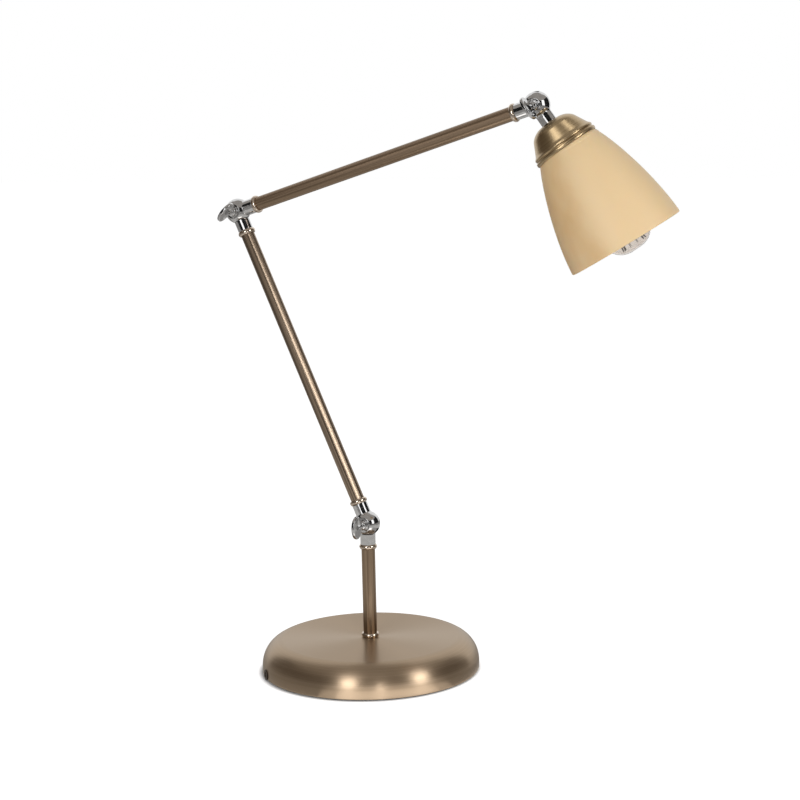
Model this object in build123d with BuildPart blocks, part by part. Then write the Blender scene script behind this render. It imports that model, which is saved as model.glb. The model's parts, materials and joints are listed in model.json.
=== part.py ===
from build123d import *
from math import asin, cos, radians, sin, sqrt, tan
import os

os.makedirs("parts", exist_ok=True)

# Desk lamp, in millimetres. The origin is the middle of the foot, +Z is up, and the arms swing in the
# XZ plane with the shade towards +X. The wing screws are on the -Y side.

# Base
base_radius = 100.0
base_height = 30.0
base_flat_radius = 80.0
base_skirt_height = 7.0
cover_lift = 1.2
cover_wall = 1.2
felt_thickness = 2.0
felt_margin = 1.3
weight_margin = 6.8
weight_thickness = 11.0
weight_boss_radius = 16.0
weight_edge_chamfer = 3.0
groove_width = 9.0
groove_height = 8.0

# Outlet for the lead in the rim of the base
outlet_angle = -135.0
outlet_height = 5.2
lead_bore_radius = 2.6
bushing_wall = 1.4
bushing_lip = 0.8
bushing_lip_thickness = 0.9
bushing_tail = 2.0
bushing_notch_clearance = 0.5

# Threaded rod through the base, with its washer and nut
rod_radius = 5.0
rod_bore_radius = 3.5
rod_reach = 20.0
rod_end_margin = 1.0
base_washer_radius = 10.0
base_washer_thickness = 1.5
lock_nut_flats = 14.0
lock_nut_thickness = 5.0
nut_pocket_clearance = 1.0

# Stem and arms
tube_radius = 6.25
tube_wall = 1.0
stem_pivot_height = 136.7
arm_length = 311.0
lower_arm_lean = 24.0
upper_arm_rise = 16.75
head_drop = 56.2
head_turn = 8.0

# Bead rings at the tube ends
ring_radius = 8.1
ring_edge_radius = 7.3
ring_height = 4.0

# Knuckles
ball_radius = 11.5
ball_flat = 9.2
neck_radius = 7.0
neck_length = 19.5
neck_fillet = 1.5
spigot_length = 12.0
wire_bore_radius = 3.0
cup_floor = 3.0
tongue_width = 8.4
tongue_thickness = 4.6
slot_back_bend = -25.0
slot_front_bend = 100.0
knuckle_clearance = 0.3
fit_clearance = 0.05

# Wing screws, their washers and captive nuts
screw_radius = 2.0
screw_washer_radius = 5.2
screw_washer_thickness = 0.8
screw_nut_flats = 7.0
screw_nut_thickness = 3.2
hub_radius = 4.3
hub_height = 3.0
hub_neck_radius = 2.6
wing_gap = 0.5
wing_length = 21.0
wing_height = 16.0
wing_thickness = 3.0
wing_edge_round = 0.9
lower_wing_turn = 24.0
elbow_wing_turn = -32.0
head_wing_turn = 0.0

# Shade cap, measured along the head from its pivot
head_neck_length = 18.5
cap_wall = 1.0
cap_crown_radius = 9.0
cap_shoulder_radius = 21.0
cap_shoulder_drop = 7.0
cap_waist_radius = 25.8
cap_waist_drop = 16.5
cap_bead_radius = 27.8
cap_bead_swell = 0.6
cap_bead_height = 2.8
cap_flare_height = 2.6
cap_groove_height = 0.5
cap_rim_swell = 1.4
cap_rim_height = 3.6
cap_rim_edge = 0.6
cap_groove_wall = 0.5

# Glass shade, which hangs a little askew in its clamp
glass_wall = 3.0
glass_mouth_radius = 52.2
glass_length = 100.1
glass_waist_radius = 45.2
glass_shoulder_radius = 18.8
glass_neck_radius = 29.0
glass_neck_height = 8.0
glass_clearance = 0.5
shade_sag = 4.2
shade_shift = 1.6

# Lamp holder
holder_entry_radius = 8.2
holder_dome_height = 11.0
holder_dome_radius = 15.5
holder_wall = 1.6
holder_flange_radius = 17.0
holder_flange_thickness = 2.0
holder_radius = 14.0
holder_length = 45.8
holder_socket_depth = 22.0
shade_ring_radius = 19.5
shade_ring_height = 6.0

# Bulb
bulb_radius = 22.5
bulb_glass_length = 64.2
bulb_neck_radius = 8.0
bulb_flare_radius = 30.0
bulb_wall = 0.8
bulb_cap_radius = 6.95
bulb_cap_height = 20.0
bulb_cap_flare = 1.2
bulb_contact_radius = 2.6
bulb_contact_height = 2.2
filament_radius = 0.35
filament_strands = 8
filament_top_radius = 4.5
filament_foot_radius = 9.0
filament_height = 34.0
filament_tip_margin = 5.5
stem_post_radius = 2.4
stem_foot_radius = 5.5
stem_foot_height = 3.0

# Fits and places that follow from the sizes above
tube_bore = tube_radius - tube_wall
spigot_radius = tube_bore - fit_clearance
rod_hole = rod_radius + fit_clearance
spigot_hole = spigot_radius + fit_clearance
screw_hole = screw_radius + fit_clearance
cup_radius = ball_radius + knuckle_clearance
cup_edge = sqrt(cup_radius**2 - neck_radius**2)
tube_start = neck_length + ring_height
arm_tube_length = arm_length - 2 * tube_start
stem_tube_start = base_height + ring_height
stem_tube_length = stem_pivot_height - tube_start - stem_tube_start
skirt_inside = base_radius - cover_wall
felt_radius = skirt_inside - felt_margin
weight_radius = skirt_inside - weight_margin
weight_top = felt_thickness + weight_thickness
hub_start = ball_flat + screw_washer_thickness + fit_clearance
wing_middle = hub_start + hub_height + wing_gap + wing_height / 2

# Plane along one member of the lamp: Z runs along the member and Y along the joint's axis.


def along(origin, z_dir, y_dir):
    return Plane(origin=origin, x_dir=y_dir.cross(z_dir), z_dir=z_dir)


# Plane for profiles: its first direction is across the member and its second along it.


def side(frame):
    return Plane(origin=frame.origin, x_dir=frame.x_dir, z_dir=-frame.y_dir)


def middle_line(frame):
    return Axis(frame.origin, frame.z_dir)


def keep(piece, label):
    piece.part.label = label
    export_step(piece.part, f"parts/{label}.step")


# Frames of the stem, the arms and the head
across = Vector(0, 1, 0)
lean = radians(lower_arm_lean)
rise = radians(upper_arm_rise)
drop = radians(head_drop)
lower_dir = Vector(-sin(lean), 0, cos(lean))
upper_dir = Vector(cos(rise), 0, sin(rise))
upper_axis = Axis((0, 0, 0), upper_dir)
head_dir = Vector(cos(drop), 0, -sin(drop)).rotate(upper_axis, head_turn)
head_across = across.rotate(upper_axis, head_turn)

stem_pivot = Vector(0, 0, stem_pivot_height)
elbow_pivot = stem_pivot + lower_dir * arm_length
head_pivot = elbow_pivot + upper_dir * arm_length

foot = Plane.XY
stem_end = along(stem_pivot, Vector(0, 0, -1), across)
lower_start = along(stem_pivot, lower_dir, across)
lower_end = along(elbow_pivot, -lower_dir, across)
upper_start = along(elbow_pivot, upper_dir, across)
upper_end = along(head_pivot, -upper_dir, head_across)
head = along(head_pivot, head_dir, head_across)

# Outlet of the lead: a radial line through the rim, pointing outwards
outlet_dir = Vector(1, 0, 0).rotate(Axis.Z, outlet_angle)
outlet = along(Vector(0, 0, outlet_height), outlet_dir, Vector(0, 0, 1))
bushing_radius = lead_bore_radius + bushing_wall
lip_radius = bushing_radius + bushing_lip
shoulder_wide = base_radius - base_flat_radius
shoulder_tall = base_height - base_skirt_height
lip_above_skirt = (outlet_height + lip_radius - base_skirt_height) / (shoulder_tall - cover_wall)
skirt_sag = skirt_inside - sqrt(skirt_inside**2 - lip_radius**2)
shoulder_sag = (shoulder_wide - cover_wall) * (1 - sqrt(1 - lip_above_skirt**2))
lip_face = skirt_inside - skirt_sag - shoulder_sag - fit_clearance
bushing_end = lip_face - bushing_lip_thickness - bushing_tail

# Base cover: spun sheet metal, with a flat top, a round shoulder and a short upright skirt
with BuildPart() as base_cover:
    with BuildSketch(side(foot)):
        with BuildLine():
            shoulder = (base_flat_radius, base_skirt_height)
            inner_wide = shoulder_wide - cover_wall
            inner_tall = shoulder_tall - cover_wall
            ceiling = base_height - cover_wall
            Line((base_radius, cover_lift), (base_radius, base_skirt_height))
            EllipticalCenterArc(shoulder, shoulder_wide, shoulder_tall, start_angle=0, arc_size=90)
            Polyline(
                (base_flat_radius, base_height),
                (rod_hole, base_height),
                (rod_hole, ceiling),
                (base_flat_radius, ceiling),
            )
            EllipticalCenterArc(shoulder, inner_wide, inner_tall, start_angle=0, arc_size=90)
            Polyline(
                (skirt_inside, base_skirt_height),
                (skirt_inside, cover_lift),
                (base_radius, cover_lift),
            )
        make_face()
    revolve(axis=Axis.Z)
    with BuildSketch(outlet.offset(base_flat_radius)):
        Circle(bushing_radius + fit_clearance)
    extrude(amount=base_radius, mode=Mode.SUBTRACT)
keep(base_cover, "base_cover")

# Base weight: cast-iron disc with a boss under the cover, a pocket for the nut and a groove for the lead
with BuildPart() as base_weight:
    pocket_radius = base_washer_radius + nut_pocket_clearance
    pocket_depth = rod_end_margin + lock_nut_thickness + base_washer_thickness + rod_end_margin
    with BuildSketch(side(foot)):
        with BuildLine():
            Polyline(
                (pocket_radius, felt_thickness),
                (weight_radius, felt_thickness),
                (weight_radius, weight_top - weight_edge_chamfer),
                (weight_radius - weight_edge_chamfer, weight_top),
                (weight_boss_radius, weight_top),
                (weight_boss_radius, base_height - cover_wall),
                (rod_hole, base_height - cover_wall),
                (rod_hole, felt_thickness + pocket_depth),
                (pocket_radius, felt_thickness + pocket_depth),
                close=True,
            )
        make_face()
    revolve(axis=Axis.Z)
    groove_middle = felt_thickness + groove_height / 2
    with BuildSketch(along(Vector(0, 0, groove_middle), outlet_dir, Vector(0, 0, 1))):
        Rectangle(groove_width, groove_height)
    extrude(amount=base_radius, mode=Mode.SUBTRACT)
keep(base_weight, "base_weight")

# Felt pad under the weight, notched where the bushing is
with BuildPart() as base_felt:
    with BuildSketch(foot):
        Circle(felt_radius)
    extrude(amount=felt_thickness)
    with BuildSketch(outlet.offset(bushing_end - bushing_notch_clearance)):
        Rectangle(2 * (lip_radius + bushing_notch_clearance), 4 * outlet_height)
    extrude(amount=base_radius, mode=Mode.SUBTRACT)
keep(base_felt, "base_felt")

# Bushing that clips into the hole in the skirt, with a lip outside and one inside
with BuildPart() as cord_bushing:
    with BuildSketch(side(outlet)):
        with BuildLine():
            Polyline(
                (lead_bore_radius, bushing_end),
                (bushing_radius, bushing_end),
                (lip_radius, lip_face - bushing_lip_thickness),
                (lip_radius, lip_face),
                (bushing_radius, lip_face),
                (bushing_radius, base_radius),
                (lip_radius, base_radius),
                (lip_radius, base_radius + bushing_lip_thickness),
                (lead_bore_radius, base_radius + bushing_lip_thickness),
                close=True,
            )
        make_face()
    revolve(axis=middle_line(outlet))
keep(cord_bushing, "cord_bushing")

# Threaded rod from the weight's pocket up into the stem
with BuildPart() as base_rod:
    with BuildSketch(foot.offset(felt_thickness + rod_end_margin)):
        Circle(rod_radius)
        Circle(rod_bore_radius, mode=Mode.SUBTRACT)
    extrude(amount=stem_tube_start + rod_reach - felt_thickness - rod_end_margin)
keep(base_rod, "base_rod")

# Washer and nut under the weight
with BuildPart() as base_washer:
    with BuildSketch(foot.offset(felt_thickness + pocket_depth - base_washer_thickness)):
        Circle(base_washer_radius)
        Circle(rod_hole, mode=Mode.SUBTRACT)
    extrude(amount=base_washer_thickness)
keep(base_washer, "base_washer")


# Hexagonal nut, seated on a plane with its thickness along that plane's direction


def hex_nut(label, seat, flats, thickness, hole):
    with BuildPart() as nut:
        with BuildSketch(seat):
            RegularPolygon(flats / 2, 6, major_radius=False)
            Circle(hole, mode=Mode.SUBTRACT)
        extrude(amount=thickness)
    keep(nut, label)


base_nut_seat = felt_thickness + pocket_depth - base_washer_thickness - lock_nut_thickness
hex_nut("base_nut", foot.offset(base_nut_seat), lock_nut_flats, lock_nut_thickness, rod_hole)


# Turned bead ring between a tube and what it stands on


def bead_ring(label, seat, bore):
    with BuildPart() as ring:
        with BuildSketch(side(seat)):
            with BuildLine():
                Line((bore, 0), (ring_edge_radius, 0))
                ThreePointArc(
                    (ring_edge_radius, 0),
                    (ring_radius, ring_height / 2),
                    (ring_edge_radius, ring_height),
                )
                Polyline((ring_edge_radius, ring_height), (bore, ring_height), (bore, 0))
            make_face()
        revolve(axis=middle_line(seat))
    keep(ring, label)


# Drawn tube


def tube(label, start, length):
    with BuildPart() as pipe:
        with BuildSketch(start):
            Circle(tube_radius)
            Circle(tube_bore, mode=Mode.SUBTRACT)
        extrude(amount=length)
    keep(pipe, label)


# Knuckle's inner half: a neck that is cupped for the ball, a tongue with an eye, and a spigot in the tube


def tongue_knuckle(label, frame):
    with BuildPart() as knuckle:
        spigot_end = tube_start + spigot_length
        bore_floor = cup_radius + cup_floor
        cup_middle = asin(neck_radius / cup_radius) / 2
        with BuildSketch(side(frame)):
            with BuildLine():
                ThreePointArc(
                    (0, cup_radius),
                    (cup_radius * sin(cup_middle), cup_radius * cos(cup_middle)),
                    (neck_radius, cup_edge),
                )
                Polyline(
                    (neck_radius, cup_edge),
                    (neck_radius, neck_length),
                    (spigot_radius, neck_length),
                    (spigot_radius, spigot_end),
                    (wire_bore_radius, spigot_end),
                    (wire_bore_radius, bore_floor),
                    (0, bore_floor),
                    (0, cup_radius),
                )
            make_face()
        revolve(axis=middle_line(frame))
        with BuildSketch(side(frame)):
            Circle(tongue_width / 2)
            Rectangle(tongue_width, cup_radius + cup_floor / 2, align=(Align.CENTER, Align.MIN))
            Circle(screw_hole, mode=Mode.SUBTRACT)
        extrude(amount=tongue_thickness / 2, both=True)
    keep(knuckle, label)


# Knuckle's outer half: a slotted ball with two flats, a neck that runs into it, and a spigot.
# The tongue swings in the slot, which opens further on one side than on the other.


def ball_knuckle(label, frame, slot_side, neck_end, spigot_end):
    with BuildPart() as knuckle:
        fillet_x = neck_radius + neck_fillet
        fillet_z = sqrt((ball_radius + neck_fillet) ** 2 - fillet_x**2)
        ball_share = ball_radius / (ball_radius + neck_fillet)
        on_ball = (fillet_x * ball_share, fillet_z * ball_share)
        on_neck = (neck_radius, fillet_z)
        bore_floor = ball_radius + cup_floor
        with BuildSketch(side(frame)):
            with BuildLine():
                ThreePointArc((0, -ball_radius), (ball_radius, 0), on_ball)
                RadiusArc(on_ball, on_neck, neck_fillet)
                Polyline(
                    on_neck,
                    (neck_radius, neck_end),
                    (spigot_radius, neck_end),
                    (spigot_radius, spigot_end),
                    (wire_bore_radius, spigot_end),
                    (wire_bore_radius, bore_floor),
                    (0, bore_floor),
                    (0, -ball_radius),
                )
            make_face()
        revolve(axis=middle_line(frame))
        # Flats where the screw's washer and the nut sit
        with BuildSketch(side(frame).offset(ball_flat)):
            Circle(ball_radius)
        extrude(amount=ball_radius, mode=Mode.SUBTRACT)
        with BuildSketch(side(frame).offset(-ball_flat)):
            Circle(ball_radius)
        extrude(amount=-ball_radius, mode=Mode.SUBTRACT)
        # Slot for the tongue, from its bend one way to its bend the other way
        slot_width = tongue_width + 2 * knuckle_clearance
        reach = 2 * ball_radius
        bends = (slot_back_bend, (slot_back_bend + slot_front_bend) / 2, slot_front_bend)
        headings = [slot_side * radians(bend) for bend in bends]
        corners = [(reach * sin(heading), -reach * cos(heading)) for heading in headings]
        with BuildSketch(side(frame)):
            Circle(slot_width / 2)
            Polygon((0, 0), *corners, align=None)
            for bend in (slot_back_bend, slot_front_bend):
                turned = 180 + slot_side * bend
                Rectangle(slot_width, reach, rotation=turned, align=(Align.CENTER, Align.MIN))
        extrude(amount=tongue_thickness / 2 + knuckle_clearance, both=True, mode=Mode.SUBTRACT)
        # Screw hole through both cheeks, with the pocket that keeps the nut from turning
        with BuildSketch(side(frame)):
            Circle(screw_hole)
        extrude(amount=ball_radius, both=True, mode=Mode.SUBTRACT)
        with BuildSketch(side(frame).offset(-ball_flat)):
            RegularPolygon(screw_nut_flats / 2 + fit_clearance, 6, major_radius=False)
        extrude(amount=screw_nut_thickness, mode=Mode.SUBTRACT)
    keep(knuckle, label)


# Washer under a wing screw


def screw_washer(label, frame):
    with BuildPart() as washer:
        with BuildSketch(side(frame).offset(ball_flat)):
            Circle(screw_washer_radius)
            Circle(screw_hole, mode=Mode.SUBTRACT)
        extrude(amount=screw_washer_thickness)
    keep(washer, label)


def screw_nut(label, frame):
    hex_nut(label, side(frame).offset(-ball_flat), screw_nut_flats, screw_nut_thickness, screw_hole)


# Wing screw: a shank through the ball, a domed hub and an oval wing to turn it by


def wing_screw(label, frame, wing_turn):
    turned = radians(wing_turn)
    wing_dir = frame.z_dir * cos(turned) + frame.x_dir * sin(turned)
    screw = Plane(origin=frame.origin, x_dir=wing_dir, z_dir=-frame.y_dir)
    with BuildPart() as wing:
        with BuildSketch(side(screw)):
            with BuildLine():
                hub_top = hub_start + hub_height
                Polyline(
                    (0, -ball_flat),
                    (screw_radius, -ball_flat),
                    (screw_radius, hub_start),
                    (hub_radius, hub_start),
                    (hub_radius, hub_start + hub_height / 2),
                )
                RadiusArc(
                    (hub_radius, hub_start + hub_height / 2),
                    (hub_neck_radius, hub_top),
                    -hub_radius,
                )
                Polyline(
                    (hub_neck_radius, hub_top),
                    (hub_neck_radius, wing_middle),
                    (0, wing_middle),
                    (0, -ball_flat),
                )
            make_face()
        revolve(axis=middle_line(screw))
        with BuildSketch(side(screw)):
            with Locations((0, wing_middle)):
                Ellipse(wing_length / 2, wing_height / 2)
        extrude(amount=wing_thickness / 2, both=True)
        rims = wing.edges().filter_by(GeomType.ELLIPSE).filter_by(lambda e: e.length > wing_height)
        fillet(rims, wing_edge_round)
    keep(wing, label)


# Stem: ring on the base, tube, ring and knuckle
bead_ring("stem_foot_ring", foot.offset(base_height), rod_hole)
tube("stem_tube", foot.offset(stem_tube_start), stem_tube_length)
bead_ring("stem_top_ring", stem_end.offset(neck_length), spigot_hole)
tongue_knuckle("stem_knuckle", stem_end)

# Lower arm
arm_spigot_end = tube_start + spigot_length
ball_knuckle("lower_arm_ball", lower_start, -1, neck_length, arm_spigot_end)
screw_washer("lower_knuckle_washer", lower_start)
screw_nut("lower_knuckle_nut", lower_start)
wing_screw("lower_wing_screw", lower_start, lower_wing_turn)
bead_ring("lower_arm_bottom_ring", lower_start.offset(neck_length), spigot_hole)
tube("lower_arm_tube", lower_start.offset(tube_start), arm_tube_length)
bead_ring("lower_arm_top_ring", lower_end.offset(neck_length), spigot_hole)
tongue_knuckle("lower_arm_knuckle", lower_end)

# Upper arm
ball_knuckle("upper_arm_ball", upper_start, 1, neck_length, arm_spigot_end)
screw_washer("elbow_knuckle_washer", upper_start)
screw_nut("elbow_knuckle_nut", upper_start)
wing_screw("elbow_wing_screw", upper_start, elbow_wing_turn)
bead_ring("upper_arm_inner_ring", upper_start.offset(neck_length), spigot_hole)
tube("upper_arm_tube", upper_start.offset(tube_start), arm_tube_length)
bead_ring("upper_arm_outer_ring", upper_end.offset(neck_length), spigot_hole)
tongue_knuckle("upper_arm_knuckle", upper_end)

# Places along the head, from its pivot
cap_top = head_neck_length
cap_inside = cap_top + cap_wall
holder_top = cap_inside + lock_nut_thickness
head_spigot_end = holder_top + holder_dome_height / 2
flange_top = holder_top + holder_dome_height
flange_end = flange_top + holder_flange_thickness
holder_mouth = flange_end + holder_length
socket_floor = holder_mouth - holder_socket_depth

# Head knuckle
ball_knuckle("head_ball", head, 1, head_neck_length, head_spigot_end)
screw_washer("head_knuckle_washer", head)
screw_nut("head_knuckle_nut", head)
wing_screw("head_wing_screw", head, head_wing_turn)

# Shade cap: spun brass bell with a bead, a groove and a rolled rim
cap_shoulder = cap_top + cap_shoulder_drop
cap_waist = cap_top + cap_waist_drop
cap_bead_start = cap_waist + cap_flare_height
cap_bead_end = cap_bead_start + cap_bead_height
cap_rim_start = cap_bead_end + cap_groove_height
cap_rim = cap_rim_start + cap_rim_height
cap_rim_inner = cap_bead_radius + cap_rim_swell - cap_rim_edge
with BuildPart() as shade_cap:
    with BuildSketch(side(head)):
        with BuildLine():
            Line((spigot_hole, cap_top), (cap_crown_radius, cap_top))
            TangentArc(
                (cap_crown_radius, cap_top),
                (cap_shoulder_radius, cap_shoulder),
                tangent=(1, 0),
            )
            Line((cap_shoulder_radius, cap_shoulder), (cap_waist_radius, cap_waist))
            TangentArc(
                (cap_waist_radius, cap_waist),
                (cap_bead_radius, cap_bead_start),
                tangent=(cap_waist_radius - cap_shoulder_radius, cap_waist - cap_shoulder),
            )
            ThreePointArc(
                (cap_bead_radius, cap_bead_start),
                (cap_bead_radius + cap_bead_swell, cap_bead_start + cap_bead_height / 2),
                (cap_bead_radius, cap_bead_end),
            )
            Line((cap_bead_radius, cap_bead_end), (cap_bead_radius, cap_rim_start))
            ThreePointArc(
                (cap_bead_radius, cap_rim_start),
                (cap_bead_radius + cap_rim_swell, cap_rim_start + cap_rim_height / 2),
                (cap_rim_inner, cap_rim),
            )
            Polyline(
                (cap_rim_inner, cap_rim),
                (cap_bead_radius - cap_groove_wall, cap_rim_start),
                (cap_bead_radius - cap_wall, cap_bead_start),
                (cap_waist_radius - cap_wall, cap_waist),
                (cap_shoulder_radius - cap_wall, cap_shoulder),
            )
            TangentArc(
                (cap_crown_radius, cap_inside),
                (cap_shoulder_radius - cap_wall, cap_shoulder),
                tangent=(1, 0),
            )
            Polyline(
                (cap_crown_radius, cap_inside),
                (spigot_hole, cap_inside),
                (spigot_hole, cap_top),
            )
        make_face()
    revolve(axis=middle_line(head))
keep(shade_cap, "shade_cap")

# Nut that holds the cap on the neck
hex_nut("cap_nut", head.offset(cap_inside), lock_nut_flats, lock_nut_thickness, spigot_hole)

# Lamp holder: domed top that screws on the spigot
with BuildPart() as holder_cap:
    dome_inside = holder_dome_radius - holder_wall
    entry_end = holder_top + holder_dome_height / 3
    with BuildSketch(side(head)):
        with BuildLine():
            Polyline(
                (spigot_hole, holder_top),
                (holder_entry_radius, holder_top),
                (holder_entry_radius, entry_end),
            )
            TangentArc(
                (holder_entry_radius, entry_end),
                (holder_dome_radius, flange_top - holder_flange_thickness),
                tangent=(1, 0),
            )
            Polyline(
                (holder_dome_radius, flange_top - holder_flange_thickness),
                (holder_dome_radius, flange_top),
                (dome_inside, flange_top),
                (dome_inside, flange_top - holder_flange_thickness),
                (spigot_hole, entry_end + holder_wall),
                (spigot_hole, holder_top),
            )
        make_face()
    revolve(axis=middle_line(head))
keep(holder_cap, "holder_cap")

# Lamp holder: flanged tube below the dome, on which the shade is clamped
with BuildPart() as holder_body:
    holder_bore = holder_radius - holder_wall
    with BuildSketch(side(head)):
        with BuildLine():
            Polyline(
                (holder_bore, flange_top),
                (holder_flange_radius, flange_top),
                (holder_flange_radius, flange_end),
                (holder_radius, flange_end),
                (holder_radius, holder_mouth),
                (holder_bore, holder_mouth),
                close=True,
            )
        make_face()
    revolve(axis=middle_line(head))
keep(holder_body, "holder_body")

# Lamp holder: porcelain core with the socket for the bulb's cap
with BuildPart() as holder_core:
    core_radius = holder_bore - fit_clearance
    socket_radius = bulb_cap_radius + bulb_cap_flare + fit_clearance
    with BuildSketch(side(head)):
        with BuildLine():
            Polyline(
                (0, flange_end),
                (core_radius, flange_end),
                (core_radius, holder_mouth),
                (socket_radius, holder_mouth),
                (socket_radius, socket_floor),
                (0, socket_floor),
                close=True,
            )
        make_face()
    revolve(axis=middle_line(head))
keep(holder_core, "holder_core")

# Glass shade: a bell with a hole at its top, a wall of even thickness and a ground mouth. It has slid to one
# side in its clamp, hangs there on the ring below it and touches the flange above it on the other side.
slope = tan(radians(shade_sag))
shade_seat = flange_end + (holder_flange_radius + shade_shift) * slope + fit_clearance
shade_dir = head_dir.rotate(Axis((0, 0, 0), head_across), shade_sag)
shade_middle = head_pivot + head_dir * shade_seat + head_dir.cross(head_across) * shade_shift
shade = along(shade_middle, shade_dir, head_across)
glass_hole = holder_radius + shade_shift + glass_clearance
glass_waist = (glass_neck_height + glass_length) / 2
with BuildPart() as glass_shade:
    with BuildSketch(side(shade)):
        with BuildLine():
            Line((glass_hole, 0), (glass_shoulder_radius, 0))
            TangentArc(
                (glass_shoulder_radius, 0),
                (glass_neck_radius, glass_neck_height),
                tangent=(1, 0),
            )
            ThreePointArc(
                (glass_neck_radius, glass_neck_height),
                (glass_waist_radius, glass_waist),
                (glass_mouth_radius, glass_length),
            )
            Line((glass_mouth_radius, glass_length), (glass_mouth_radius - glass_wall, glass_length))
            ThreePointArc(
                (glass_mouth_radius - glass_wall, glass_length),
                (glass_waist_radius - glass_wall, glass_waist),
                (glass_neck_radius - glass_wall, glass_neck_height + glass_wall / 3),
            )
            TangentArc(
                (glass_shoulder_radius, glass_wall),
                (glass_neck_radius - glass_wall, glass_neck_height + glass_wall / 3),
                tangent=(1, 0),
            )
            Polyline(
                (glass_shoulder_radius, glass_wall),
                (glass_hole, glass_wall),
                (glass_hole, 0),
            )
        make_face()
    revolve(axis=middle_line(shade))
keep(glass_shade, "glass_shade")

# Ring that screws up the holder and carries the glass
with BuildPart() as shade_ring:
    glass_under = glass_wall / cos(radians(shade_sag)) + (shade_ring_radius - shade_shift) * slope
    ring_seat = shade_seat + glass_under + fit_clearance
    with BuildSketch(side(head)):
        with BuildLine():
            Polyline(
                (holder_radius + fit_clearance, ring_seat),
                (shade_ring_radius, ring_seat),
                (shade_ring_radius, ring_seat + shade_ring_height / 3),
                (holder_radius + holder_wall, ring_seat + shade_ring_height / 3),
                (holder_radius + holder_wall, ring_seat + shade_ring_height),
                (holder_radius + fit_clearance, ring_seat + shade_ring_height),
                close=True,
            )
        make_face()
    revolve(axis=middle_line(head))
keep(shade_ring, "shade_ring")

# Bulb: round glass envelope on a flared neck, seated in its cap
bulb_seat = socket_floor + bulb_contact_height + bulb_cap_height
bulb_tip = bulb_seat + bulb_glass_length
bulb_middle = bulb_tip - bulb_radius
flare_x = bulb_neck_radius + bulb_flare_radius
flare_z = bulb_middle - sqrt((bulb_radius + bulb_flare_radius) ** 2 - flare_x**2)


# Outline of the envelope, on its outside or set in by the thickness of the glass


def envelope(inset):
    round_radius = bulb_radius - inset
    share = round_radius / (bulb_radius + bulb_flare_radius)
    joint = (flare_x * share, bulb_middle + (flare_z - bulb_middle) * share)
    neck_x = bulb_neck_radius - inset
    Line((neck_x, bulb_seat), (neck_x, flare_z))
    RadiusArc((neck_x, flare_z), joint, bulb_flare_radius + inset)
    ThreePointArc(joint, (round_radius, bulb_middle), (0, bulb_middle + round_radius))


with BuildPart() as bulb_glass:
    with BuildSketch(side(head)):
        with BuildLine():
            envelope(0)
            envelope(bulb_wall)
            Line((0, bulb_tip - bulb_wall), (0, bulb_tip))
            Line((bulb_neck_radius - bulb_wall, bulb_seat), (bulb_neck_radius, bulb_seat))
        make_face()
    revolve(axis=middle_line(head))
keep(bulb_glass, "bulb_glass")

# Bulb's metal cap with its contact
with BuildPart() as bulb_cap:
    with BuildSketch(side(head)):
        with BuildLine():
            Polyline(
                (0, socket_floor),
                (bulb_contact_radius, socket_floor),
                (bulb_contact_radius, socket_floor + bulb_contact_height / 2),
                (bulb_cap_radius, socket_floor + bulb_contact_height),
                (bulb_cap_radius, bulb_seat - bulb_cap_flare),
                (bulb_cap_radius + bulb_cap_flare, bulb_seat),
                (0, bulb_seat),
                close=True,
            )
        make_face()
    revolve(axis=middle_line(head))
keep(bulb_cap, "bulb_cap")

# Filament cage on its glass post, standing on the cap inside the envelope
filament_foot = bulb_tip - filament_tip_margin
filament_top = filament_foot - filament_height
with BuildPart() as bulb_filament:
    with BuildSketch(side(head)):
        with BuildLine():
            Polyline(
                (0, bulb_seat),
                (stem_foot_radius, bulb_seat),
                (stem_post_radius, bulb_seat + stem_foot_height),
                (stem_post_radius, filament_top),
                (filament_top_radius + filament_radius, filament_top),
                (filament_top_radius + filament_radius, filament_top + stem_post_radius / 2),
                (0, filament_top + stem_post_radius / 2),
                close=True,
            )
        make_face()
    revolve(axis=middle_line(head))
    strand_ends = []
    for strand in range(filament_strands):
        heading = radians(360 * strand / filament_strands)
        low = strand % 2
        reach = filament_foot_radius if low else filament_top_radius
        level = filament_foot if low else filament_top
        strand_ends.append(head.from_local_coords(Vector(reach * cos(heading), reach * sin(heading), level)))
    for start, end in zip(strand_ends, strand_ends[1:] + strand_ends[:1]):
        with BuildSketch(Plane(origin=start, z_dir=end - start)):
            Circle(filament_radius)
        extrude(amount=(end - start).length)
    with Locations(*strand_ends):
        Sphere(filament_radius)
keep(bulb_filament, "bulb_filament")
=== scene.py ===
import json
from math import cos, pi, radians, sin

import bmesh
import bpy
from mathutils import Matrix, Vector


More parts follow.
